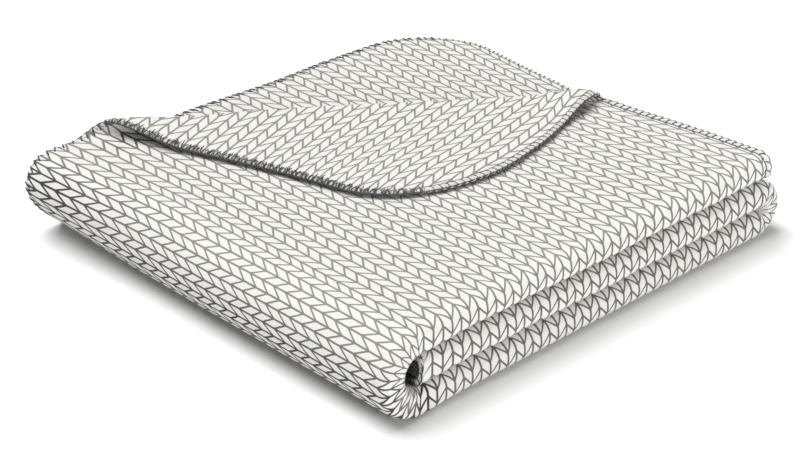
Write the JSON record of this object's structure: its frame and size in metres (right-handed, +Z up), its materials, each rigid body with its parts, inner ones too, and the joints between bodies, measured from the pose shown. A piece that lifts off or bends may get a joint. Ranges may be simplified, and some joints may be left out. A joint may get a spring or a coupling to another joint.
{
  "type": "folded throw blanket",
  "caption": "Large soft throw blanket folded into a flat square stack, with rounded folds, a stitched edge and one corner turned over on top.",
  "frame": {"origin": "centre of the footprint, on the plane that the folded blanket lies on", "axes": "+Z up; +X from the round front-left fold towards the side with the cut edges; +Y from the rolled front-right side towards the cut edges at the back"},
  "size_m": [0.4488, 0.4132, 0.0879],
  "materials": {
    "cloth": "soft napped cloth with a grey herringbone print"
  },
  "bodies": {
    "root": {"blanket": "cloth"}
  },
  "joints": []
}
